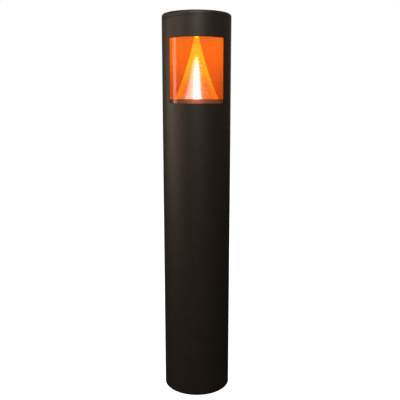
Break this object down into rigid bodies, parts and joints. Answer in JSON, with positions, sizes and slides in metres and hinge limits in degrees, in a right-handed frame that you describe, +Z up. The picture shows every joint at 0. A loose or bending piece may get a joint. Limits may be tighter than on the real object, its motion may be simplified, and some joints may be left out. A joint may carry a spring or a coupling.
{
  "type": "bollard light",
  "caption": "Round dark bronze bollard light with a flat top and one tall front window, where a cone reflector glows amber behind a clear lens.",
  "frame": {"origin": "centre of the foot, on the ground", "axes": "+Z up the shaft; the window faces -Y, and +X is to the right of someone looking at the window"},
  "size_m": [0.19, 0.19, 1.067],
  "materials": {
    "bronze_coat": "smooth semi-gloss architectural bronze powder coat",
    "cast_metal": "as cast, machined where the shaft stands",
    "screw_steel": "passivated stainless",
    "screw_dark": "black oxide stainless security screw",
    "bare_aluminium": "as-cast, machined on its underside",
    "white_board": "white solder mask on a metal core board",
    "amber_led": "phosphor amber package",
    "clear_optic": "clear moulded acrylic",
    "white_plastic": "moulded nylon",
    "white_sheet": "high-reflectance white paint on aluminium sheet",
    "seal_rubber": "silicone",
    "clear_lens": "clear acrylic tube, UV-stabilised",
    "bright_reflector": "spun and bright-anodised",
    "black_plastic": "moulded nylon",
    "cable_jacket": "smooth jacket",
    "galvanised": "galvanised sheet",
    "driver_case": "white painted steel can",
    "blue_plastic": "potted plastic case",
    "brass_screw": "plated brass",
    "green_jacket": "green insulation",
    "green_screw": "green dyed zinc plate"
  },
  "bodies": {
    "base": {"anchor_base": "cast_metal"},
    "pole": {"base_set_screws": "screw_steel", "shaft_tube": "bronze_coat", "top_cap": "bronze_coat", "cap_side_screws": "screw_dark", "cap_bolts": "screw_steel", "heat_sink": "bare_aluminium", "led_board": "white_board", "led_board_screws": "screw_steel", "leds": "amber_led", "led_optic": "clear_optic", "led_connector": "white_plastic", "ceiling_reflector": "white_sheet", "ceiling_screws": "screw_steel", "upper_lens_gasket": "seal_rubber", "lens_tube": "clear_lens", "lower_lens_gasket": "seal_rubber", "back_reflector": "white_sheet", "reflector_rivets": "screw_steel", "cone_reflector": "bright_reflector", "cone_screws": "screw_steel", "chamber_floor": "bronze_coat", "tie_rod": "screw_steel", "tie_rod_washer": "screw_steel", "tie_rod_nut": "screw_steel", "breather_vent": "black_plastic", "cable_grommet": "seal_rubber", "led_cable": "cable_jacket", "driver_tray": "galvanised", "tray_screws": "screw_steel", "led_driver": "driver_case", "driver_screws": "screw_steel", "surge_protector": "blue_plastic", "surge_protector_screws": "screw_steel", "terminal_block": "white_plastic", "terminal_screws": "brass_screw", "supply_wires": "cable_jacket", "ground_wire": "green_jacket", "ground_screw": "green_screw"}
  },
  "joints": [
    {"name": "shaft_turn", "type": "hinge", "parent": "base", "child": "pole", "pos_m": [0, 0, 0], "axis": [0, 0, 1], "range_deg": [-180, 180]}
  ]
}
